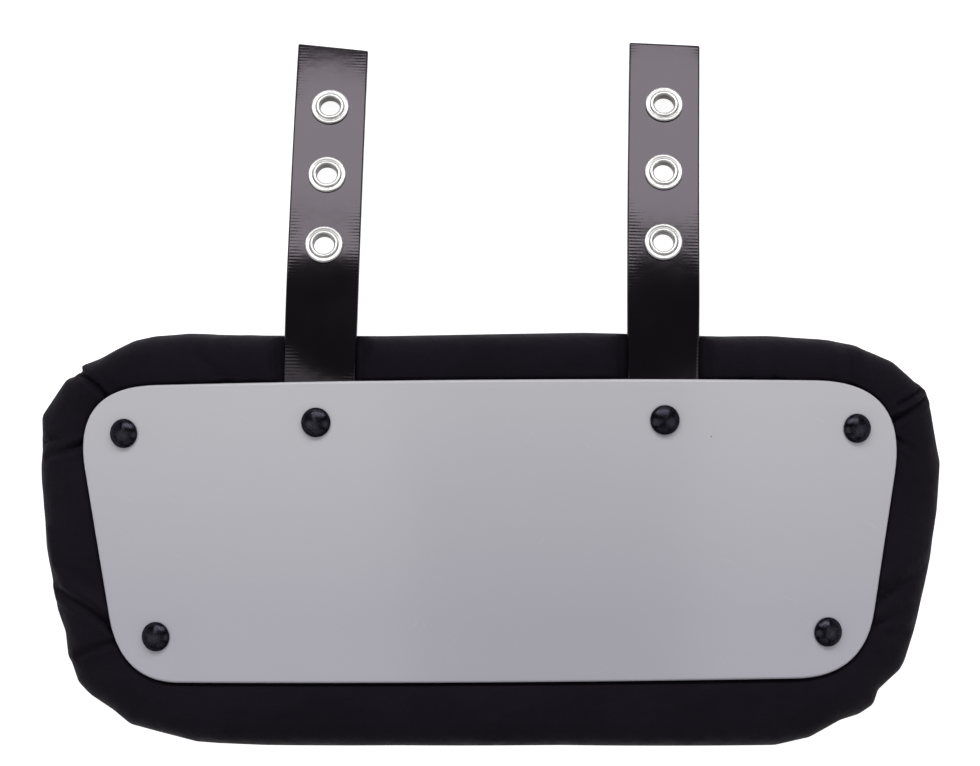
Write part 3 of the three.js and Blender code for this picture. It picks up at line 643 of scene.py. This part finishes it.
relief = bumped(tree, crumple.outputs["Height"], 0.0011, 0.7)
relief = bumped(tree, weave.outputs["Height"], 0.00008, 0.8, relief)
tree.links.new(relief, shader.inputs["Normal"])
cushion.data.materials.append(nylon)
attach(cushion, "root")
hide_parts("back_pad")


# Shell
# One moulding of light grey plastic, three millimetres thick, bent to the arch. It has a soft
# edge all round, is drawn in a little by its rivets and carries hairline scuffs and a little haze.
# Its colour is darkened towards its bottom as painted shade.
EDGE_RADIUS = 1.0
RIVET_DENT_DEPTH = 0.16
RIVET_DENT_WIDTH = 11
SHELL_COLOUR = (0.59, 0.583, 0.62)
SHELL_HAZE_COLOUR = (0.6, 0.592, 0.63)
# painted shade: the darker, bluer grey that the shell's colour turns to towards its bottom
SHELL_PAINTED_SHADE_COLOUR = (0.5, 0.492, 0.555)


def shell_rings():
    """The shell as rings: the outer face, a rounded edge, the straight side, and the inner face."""
    rings = [ring(share * (shell_reach - EDGE_RADIUS), 0.0) for share in np.linspace(0, 1, 20)[:-1]]
    for turn in np.linspace(0, np.pi / 2, 10):
        inset, below = EDGE_RADIUS * (1 - np.sin(turn)), EDGE_RADIUS * (1 - np.cos(turn))
        rings.append(ring(shell_reach - inset, -below))
    rings.append(ring(shell_reach, -SHELL_THICKNESS + 0.3))
    rings.append(ring(shell_reach - 0.3, -SHELL_THICKNESS))
    rings += [ring(share * shell_reach, -SHELL_THICKNESS) for share in (0.97, 0.7, 0.35, 0.0)]
    return np.array(rings)[:, ::2]


shell_flat = shell_rings()
outer_face = shell_flat[..., 2] > -SHELL_THICKNESS / 2
for place in rivets.values():
    away = np.linalg.norm(shell_flat[..., :2] - place, axis=-1)
    dent = RIVET_DENT_DEPTH * np.exp(-(away / RIVET_DENT_WIDTH) ** 2)
    shell_flat[..., 2] -= np.where(outer_face, dent, 0)
rows, columns = shell_flat.shape[:2]
shell = new_piece("moulded_shell", on_arch(shell_flat), skin_faces(rows, columns).tolist())
weld(shell, 1e-5, outward=False)


def scuffs_group():
    """Hairline scuffs: thin bands of a noise that is stretched one way, broken up by a second noise."""
    starts = {"Stretch": (60, 900, 60), "Turn": (0, 0, 0.4), "Kept": 0.6}
    tree, takes, gives = new_group("hairline_scuffs", starts, ("Mask",))
    place = put(tree, "ShaderNodeTexCoord").outputs["Object"]
    turn = {"Vector": place, "Rotation": takes.outputs["Turn"]}
    turned = put(tree, "ShaderNodeVectorRotate", turn, rotation_type="EULER_XYZ").outputs[0]
    drawn = vector_of(tree, "MULTIPLY", turned, takes.outputs["Stretch"])
    noise = {"Vector": drawn, "Scale": 1.0, "Detail": 2.0, "Distortion": 0.3}
    lines = put(tree, "ShaderNodeTexNoise", noise).outputs["Fac"]
    broken = put(tree, "ShaderNodeTexNoise", {"Vector": place, "Scale": 70.0, "Detail": 1.0}).outputs["Fac"]
    kept = math_of(tree, "GREATER_THAN", broken, takes.outputs["Kept"])
    thin = range_of(tree, lines, 0.655, 0.7)
    tree.links.new(math_of(tree, "MULTIPLY", thin, kept), gives.inputs["Mask"])
    return tree


hairline_scuffs = scuffs_group()

plastic, tree, shader = new_finish("light_grey_plastic")
haze = group_node(tree, surface_grain, {"Size": 0.05})
peel = group_node(tree, surface_grain, {"Size": 0.0012})
sway = group_node(tree, surface_grain, {"Size": 0.04})
scuffs = group_node(tree, hairline_scuffs, {"Stretch": (45, 1500, 45), "Turn": (0, 0, 0.5), "Kept": 0.62})
crossing = group_node(tree, hairline_scuffs, {"Stretch": (45, 1700, 45), "Turn": (0, 0, -0.9), "Kept": 0.66})
dust = group_node(tree, lint_and_dust, {"Spacing": 0.02, "Share": 0.014, "Kept": 0.8})
place = put(tree, "ShaderNodeTexCoord").outputs["Object"]
up = put(tree, "ShaderNodeSeparateXYZ", {0: place}).outputs["Y"]
# painted shade: the colour darkens steadily downwards, from near the shell's top to below its middle, and
# stays dark to its bottom
painted_shade_below = range_of(tree, up, -0.004, -0.08)
base = mixed(tree, haze.outputs["Mask"], SHELL_COLOUR, SHELL_HAZE_COLOUR)
base = mixed(tree, painted_shade_below, base, SHELL_PAINTED_SHADE_COLOUR)
base = mixed(tree, dust.outputs["Mask"], base, (0.16, 0.155, 0.16))
tree.links.new(base, shader.inputs["Base Color"])
dull = math_of(tree, "MAXIMUM", scuffs.outputs["Mask"], crossing.outputs["Mask"])
smooth = spread(tree, haze.outputs["Mask"], 0.2, 0.25)
tree.links.new(math_of(tree, "ADD", spread(tree, dull, 0.0, 0.07), smooth), shader.inputs["Roughness"])
shader.inputs["Specular IOR Level"].default_value = 0.5
relief = bumped(tree, sway.outputs["Height"], 0.0006, 0.35)
relief = bumped(tree, peel.outputs["Height"], 0.00003, 0.5, relief)
relief = bumped(tree, dull, -0.00001, 0.5, relief)
tree.links.new(relief, shader.inputs["Normal"])
shell.data.materials.append(plastic)
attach(shell, "root")
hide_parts("face_plate")


# Straps
# Black webbing an inch wide with a smooth plastic coat, through which its cross ribs show, most
# of all near its edges. Each is riveted under the shell and has three holes for its eyelets.
STRAP_EDGE = 0.8
STRAP_CUT_SLANT = {-1: 5.3, 1: 1.6}
STRAP_CUT_LENGTH = 14
STRAP_STEPS = 240
RIB_PITCH = 0.0012
EYELET_END = 25.0
EYELET_PITCH = 26.8
STRAP_HOLE_RADIUS = 4.9
FLAT_STEPS = 36
EDGE_STEPS = 6
eyelet_lengths = {
    "top": STRAP_FREE_LENGTH - EYELET_END,
    "middle": STRAP_FREE_LENGTH - EYELET_END - EYELET_PITCH,
    "bottom": STRAP_FREE_LENGTH - EYELET_END - 2 * EYELET_PITCH,
}


def strap_loop():
    """Half of the strap's section as across and out: over the top, with a round edge at each side."""
    half, thick = STRAP_WIDTH / 2, STRAP_THICKNESS / 2
    turn = np.linspace(0, np.pi / 2, EDGE_STEPS + 1)
    edge_x = half - STRAP_EDGE + STRAP_EDGE * np.cos(turn)
    edge_z = thick * np.sin(turn) ** 0.8
    flat_x = np.linspace(half - STRAP_EDGE, -half + STRAP_EDGE, FLAT_STEPS + 1)[1:-1]
    x = np.concatenate([edge_x, flat_x, -edge_x[::-1]])
    z = np.concatenate([edge_z, np.full(flat_x.shape, thick), edge_z[::-1]])
    return x, z


def strap_piece(name, side):
    """A strap as a grid of lengths by section places, top and bottom, joined by walls at its holes."""
    x, z = strap_loop()
    lengths = np.linspace(-STRAP_INSET - STRAP_TAIL, STRAP_FREE_LENGTH, STRAP_STEPS)
    cut_share = smoothstep(lengths, STRAP_FREE_LENGTH - STRAP_CUT_LENGTH, STRAP_FREE_LENGTH)
    slant = np.tan(np.radians(STRAP_CUT_SLANT[side])) * cut_share
    place_x = np.tile(x, (len(lengths), 1))
    place_l = lengths[:, None] - slant[:, None] * place_x
    cells_x = (place_x[:-1, :-1] + place_x[1:, 1:]) / 2
    cells_l = (place_l[:-1, :-1] + place_l[1:, 1:]) / 2
    open_cell = np.zeros(cells_x.shape, bool)
    for centre in eyelet_lengths.values():
        open_cell |= np.hypot(cells_x, cells_l - centre) < STRAP_HOLE_RADIUS
    touched = np.zeros(place_x.shape, int)
    ends = (slice(0, -1), slice(1, None))
    for rows_at in ends:
        for columns_at in ends:
            touched[rows_at, columns_at] += open_cell
    rim = (touched > 0) & (touched < 4)
    for centre in eyelet_lengths.values():
        away = np.hypot(place_x, place_l - centre)
        near = rim & (away < STRAP_HOLE_RADIUS + 2)
        pull = np.where(near, STRAP_HOLE_RADIUS / np.maximum(away, 1e-6), 1)
        place_x, place_l = place_x * pull, centre + (place_l - centre) * pull
    middle, axes = strap_frames(side, place_l.ravel())
    middle = middle.reshape(place_l.shape + (3,))
    axes = axes.reshape(place_l.shape + (3, 3))
    wave = 0.05 * np.sin(place_l * 0.21 + side) + 0.04 * np.sin(place_l * 0.087 + 2 + place_x * 0.1)
    layer = middle + axes[..., 0, :] * place_x[..., None]
    sides = [layer + axes[..., 2, :] * (s * z + wave)[..., None] for s in (1, -1)]
    count = place_x.size
    index = np.arange(count).reshape(place_x.shape)
    a, b, c, d = index[:-1, :-1], index[:-1, 1:], index[1:, 1:], index[1:, :-1]
    shut = ~open_cell
    top = np.stack([a, d, c, b], axis=-1)[shut]
    bottom = np.stack([a, b, c, d], axis=-1)[shut] + count
    walls = []
    grown = np.pad(open_cell, 1)
    inner = grown[1:-1, 1:-1]
    beside_cells = (
        (grown[:-2, 1:-1], a, b), (grown[2:, 1:-1], c, d), (grown[1:-1, :-2], d, a), (grown[1:-1, 2:], b, c))
    for beside, p, q in beside_cells:
        step = inner & ~beside
        walls.append(np.stack([p[step], q[step], q[step] + count, p[step] + count], axis=-1))
    for row, order in ((0, 1), (-1, -1)):
        line = index[row]
        wall = np.stack([line[:-1], line[1:], line[1:] + count, line[:-1] + count], axis=-1)
        walls.append(wall[:, ::order])
    faces = np.concatenate([top, bottom] + walls)
    points = np.concatenate([s.reshape(-1, 3) for s in sides]) / 1000
    flat = np.concatenate([np.stack([place_x.ravel(), place_l.ravel()], axis=-1)] * 2) / 1000
    piece = new_piece(name, points, faces.tolist(), flat[faces])
    weld(piece, 2e-6)
    return piece


webbing, tree, shader = new_finish("coated_webbing")
cloth = put(tree, "ShaderNodeUVMap", uv_map="cloth").outputs[0]
parts = put(tree, "ShaderNodeSeparateXYZ", {0: cloth})
from_middle = math_of(tree, "ABSOLUTE", parts.outputs["X"])
edge_share = range_of(tree, from_middle, 0.0065, 0.0122, (0.06, 1.0))
patches = group_node(tree, surface_grain, {"Size": 0.016})
patchy = math_of(tree, "MULTIPLY", edge_share, spread(tree, patches.outputs["Mask"], 0.1, 1.0))
ribs = math_of(tree, "MULTIPLY", waved(tree, parts.outputs["Y"], RIB_PITCH), patchy)
coat = group_node(tree, surface_grain, {"Size": 0.02})
skin = group_node(tree, surface_grain, {"Size": 0.0009})
dust = group_node(tree, lint_and_dust, {"Spacing": 0.012, "Share": 0.014, "Kept": 0.75})
base = mixed(tree, coat.outputs["Mask"], (0.0034, 0.0025, 0.0042), (0.0046, 0.0034, 0.0056))
base = mixed(tree, dust.outputs["Mask"], base, (0.12, 0.115, 0.125))
tree.links.new(base, shader.inputs["Base Color"])
tree.links.new(spread(tree, coat.outputs["Mask"], 0.11, 0.14), shader.inputs["Roughness"])
shader.inputs["Specular IOR Level"].default_value = 0.5
shader.inputs["Specular Tint"].default_value = (1.0, 0.88, 1.0, 1)
relief = bumped(tree, coat.outputs["Height"], 0.0004, 0.3)
relief = bumped(tree, skin.outputs["Height"], 0.00002, 0.3, relief)
relief = bumped(tree, ribs, 0.000012, 0.6, relief)
tree.links.new(relief, shader.inputs["Normal"])
for side_name, side in (("left", -1), ("right", 1)):
    strap = strap_piece("webbing_" + side_name, side)
    strap.data.materials.append(webbing)
    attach(strap, "root")
    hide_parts("strap_" + side_name)


# Eyelets
# Nickel-plated brass: a barrel through the webbing, rolled over a flat ring on the outer side and
# spread into a plain flange behind. The plating is bright on the roll, and the inside of the barrel
# is coloured dark as painted shade and a painted dark reflection.
EYELET_SIDES = 72
# profile of an eyelet: radius, height over the strap's middle layer, from the barrel's back end
# up its inside, over the roll and the flange, and back down its outside
EYELET_PROFILE = np.array([
    [3.8, -1.5], [3.65, -1.1], [3.61, -0.4], [3.6, 0.6], [3.61, 1.4], [3.68, 1.85], [3.85, 2.15],
    [4.15, 2.36], [4.6, 2.4], [4.95, 2.26], [5.2, 2.0], [5.38, 1.86], [5.62, 1.87], [6.15, 1.98],
    [6.58, 1.9], [6.84, 1.68], [6.9, 1.42], [6.82, 1.18], [6.3, 1.12], [5.2, 1.12], [4.4, 1.1],
    [4.4, 0.0], [4.4, -1.12], [5.3, -1.14], [6.05, -1.16], [6.2, -1.34], [6.02, -1.52], [5.4, -1.6],
    [4.4, -1.62], [3.8, -1.5],
])
# how far along the profile the painted shade inside the barrel runs, fading out where its inside turns into
# the roll, in metres
EYELET_INSIDE = (0.0031, 0.0038)


def turned_part(profile, sides):
    """A profile of radius and height carried once round the out axis, as rings of points."""
    turn = 2 * np.pi * np.arange(sides) / sides
    r, h = profile[:, 0][:, None], profile[:, 1][:, None]
    return np.stack([r * np.cos(turn), r * np.sin(turn), h + 0 * turn], axis=-1)


def turned_map(profile, sides):
    """The cloth map of a turned part: the share of a turn, and how far along the profile, in metres."""
    along = travelled(np.linalg.norm(np.diff(profile, axis=0), axis=1)) / 1000
    r, c = np.meshgrid(np.arange(len(profile) - 1), np.arange(sides) / sides, indexing="ij")
    steps = ((0, 0), (1, 0), (1, 1 / sides), (0, 1 / sides))
    return np.stack([np.stack([c + dc, along[r + dr]], axis=-1) for dr, dc in steps], axis=-2)


nickel, tree, shader = new_finish("nickel_plate")
cloth = put(tree, "ShaderNodeUVMap", uv_map="cloth").outputs[0]
along = put(tree, "ShaderNodeSeparateXYZ", {0: cloth}).outputs["Y"]
tarnish = group_node(tree, surface_grain, {"Size": 0.003})
brush = group_node(tree, surface_grain, {"Size": 0.0007})
# painted shade: the inside of the barrel is coloured dark, standing in for the shadow and dark reflection in
# the bore
painted_bore_shade = range_of(tree, along, *EYELET_INSIDE, (1.0, 0.0))
base = mixed(tree, tarnish.outputs["Mask"], (0.66, 0.65, 0.645), (0.57, 0.56, 0.555))
base = mixed(tree, painted_bore_shade, base, (0.07, 0.062, 0.06))
tree.links.new(base, shader.inputs["Base Color"])
shader.inputs["Metallic"].default_value = 1.0
tree.links.new(spread(tree, tarnish.outputs["Mask"], 0.34, 0.44), shader.inputs["Roughness"])
tree.links.new(bumped(tree, brush.outputs["Height"], 0.00003, 0.4), shader.inputs["Normal"])
eyelet_profile = smooth_line(EYELET_PROFILE, 96)
eyelet_rings = turned_part(eyelet_profile, EYELET_SIDES)
eyelet_map = turned_map(eyelet_profile, EYELET_SIDES)
for side_name, side in (("left", -1), ("right", 1)):
    for station, length in eyelet_lengths.items():
        middle, axes = strap_frames(side, np.array([length]))
        points = (eyelet_rings @ axes[0] + middle[0]) / 1000
        faces = skin_faces(*points.shape[:2])
        eyelet = new_piece("eyelet_ring_" + side_name + "_" + station, points, faces.tolist(), eyelet_map)
        weld(eyelet, 1e-6)
        eyelet.data.materials.append(nickel)
        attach(eyelet, "root")
        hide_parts("eyelet_" + side_name + "_" + station)


# Rivets
# Black lacquered steel: a domed head on the shell, a shank through shell and cushion, and a plain
# round washer behind. The heads are turned, so their shine runs out from their middles in wedges.
HEAD_RADIUS = 5.25
HEAD_HEIGHT = 3.2
SHANK_RADIUS = 2.2
WASHER_RADIUS = 6.5
WASHER_OUT = BACK_OUT + 3.2
RIVET_SIDES = 72
HEAD_RIM = 0.75
TURNING_PITCH = 0.0009


def rivet_profile():
    """Radius and out of a rivet: a flattened dome, a curled rim, the shank and the washer."""
    turn = np.linspace(0, np.pi / 2, 26)
    dome_out = HEAD_RIM + (HEAD_HEIGHT - HEAD_RIM) * np.cos(turn) ** 1.15
    dome = np.stack([(HEAD_RADIUS - 0.12) * np.sin(turn), dome_out], axis=1)
    rest = np.array([
        [HEAD_RADIUS, 0.55], [HEAD_RADIUS, 0.3], [HEAD_RADIUS - 0.18, 0.08], [HEAD_RADIUS - 0.6, 0.03],
        [SHANK_RADIUS, 0.03],
        [SHANK_RADIUS, WASHER_OUT], [WASHER_RADIUS - 0.2, WASHER_OUT], [WASHER_RADIUS, WASHER_OUT - 0.2],
        [WASHER_RADIUS, WASHER_OUT - 0.8], [WASHER_RADIUS - 0.2, WASHER_OUT - 1.0], [3.2, WASHER_OUT - 1.0],
        [2.9, WASHER_OUT - 1.25], [1.2, WASHER_OUT - 1.35], [0.0, WASHER_OUT - 1.35],
    ])
    return np.concatenate([dome, rest])


lacquer, tree, shader = new_finish("black_lacquer")
around = put(tree, "ShaderNodeUVMap", uv_map="cloth").outputs[0]
parts = put(tree, "ShaderNodeSeparateXYZ", {0: around})
rub = group_node(tree, surface_grain, {"Size": 0.0011})
fine = group_node(tree, surface_grain, {"Size": 0.0005})
scuffs = group_node(tree, hairline_scuffs, {"Stretch": (300, 3500, 300), "Turn": (0, 0, 0.7), "Kept": 0.5})
circles = waved(tree, parts.outputs["Y"], TURNING_PITCH)
base = mixed(tree, rub.outputs["Mask"], (0.022, 0.0205, 0.028), (0.036, 0.034, 0.045))
base = mixed(tree, scuffs.outputs["Mask"], base, (0.1, 0.1, 0.105))
tree.links.new(base, shader.inputs["Base Color"])
tree.links.new(spread(tree, rub.outputs["Mask"], 0.22, 0.32), shader.inputs["Roughness"])
shader.inputs["Anisotropic"].default_value = 0.85
shader.inputs["Anisotropic Rotation"].default_value = 0.25
tangent = put(tree, "ShaderNodeTangent", direction_type="UV_MAP", uv_map="cloth").outputs[0]
tree.links.new(tangent, shader.inputs["Tangent"])
shader.inputs["Metallic"].default_value = 1.0
shader.inputs["Specular Tint"].default_value = (0.3, 0.3, 0.34, 1)
relief = bumped(tree, circles, 0.000012, 0.6)
relief = bumped(tree, fine.outputs["Height"], 0.00005, 0.5, relief)
tree.links.new(relief, shader.inputs["Normal"])
profile = rivet_profile()
rivet_rings = turned_part(profile, RIVET_SIDES)
rivet_map = turned_map(profile, RIVET_SIDES)
for name, (across, up) in rivets.items():
    place = on_arch(np.array([across, up, 0.0])) * 1000
    angle = across / ARCH_RADIUS
    axes = np.array([[np.cos(angle), 0, -np.sin(angle)], [0, 1, 0], [np.sin(angle), 0, np.cos(angle)]])
    points = (rivet_rings @ axes + place) / 1000
    faces = skin_faces(*points.shape[:2])
    rivet = new_piece("rivet_cap_" + name, points, faces.tolist(), rivet_map)
    weld(rivet, 1e-6)
    rivet.data.materials.append(lacquer)
    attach(rivet, "root")
    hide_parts("rivet_" + name)


# Studio
# A pale sheet under the back plate, a wide soft box beyond the straps' ends, dimmer ones on each
# side and before it, and a camera that looks straight down on the shell from 0.9 metres.
SOFT_BOX_DISTANCE = 1.5

floor_mesh = bpy.data.meshes.new("studio_floor")
floor_mesh.from_pydata([(-4, -4, 0), (4, -4, 0), (4, 4, 0), (-4, 4, 0)], [], [(0, 1, 2, 3)])
floor = bpy.data.objects.new("studio_floor", floor_mesh)
bpy.context.scene.collection.objects.link(floor)
paper, tree, shader = new_finish("pale_paper")
mottle = group_node(tree, surface_grain, {"Size": 0.3})
base = mixed(tree, mottle.outputs["Mask"], (0.88, 0.88, 0.885), (0.9, 0.9, 0.9))
tree.links.new(base, shader.inputs["Base Color"])
shader.inputs["Roughness"].default_value = 0.9
shader.inputs["Specular IOR Level"].default_value = 0.1
shader.inputs["Emission Color"].default_value = (1, 1, 1, 1)
shader.inputs["Emission Strength"].default_value = 0.8
floor_mesh.materials.append(paper)


def soft_box(name, tilt_x, tilt_y, width, height, power):
    """A rectangular lamp that points at the middle, tilted from straight above by two angles."""
    lamp = bpy.data.lights.new(name, "AREA")
    lamp.shape = "RECTANGLE"
    lamp.size = width
    lamp.size_y = height
    lamp.energy = power
    holder = bpy.data.objects.new(name, lamp)
    direction = np.array([np.tan(np.radians(tilt_x)), np.tan(np.radians(tilt_y)), 1.0])
    direction /= np.linalg.norm(direction)
    holder.location = direction * SOFT_BOX_DISTANCE
    holder.rotation_euler = (-np.arcsin(direction[1]), np.arctan2(direction[0], direction[2]), 0)
    bpy.context.scene.collection.objects.link(holder)


soft_box("soft_box_far", 0, 45.7, 1.9, 0.55, 16.8)
soft_box("soft_box_near", 0, -50, 1.3, 0.6, 1.5)
soft_box("soft_box_left", -36, -14, 1.46, 0.9, 4.7)
soft_box("soft_box_right", 43, -14, 1.03, 0.9, 3.4)
bpy.context.scene.view_settings.view_transform = "Standard"
world = bpy.data.worlds.new("studio_air")
world.use_nodes = True
world.node_tree.nodes["Background"].inputs["Color"].default_value = (1, 1, 1, 1)
world.node_tree.nodes["Background"].inputs["Strength"].default_value = 0.08
bpy.context.scene.world = world

camera_data = bpy.data.cameras.new("studio_camera")
camera_data.lens = 93.92
camera_data.sensor_width = 36.0
camera_data.clip_end = 20
camera = bpy.data.objects.new("studio_camera", camera_data)
camera.location = (-0.00013, 0.00265, 0.94724)
camera.rotation_euler = (0, 0, np.radians(-0.4))
bpy.context.scene.collection.objects.link(camera)
bpy.context.scene.camera = camera
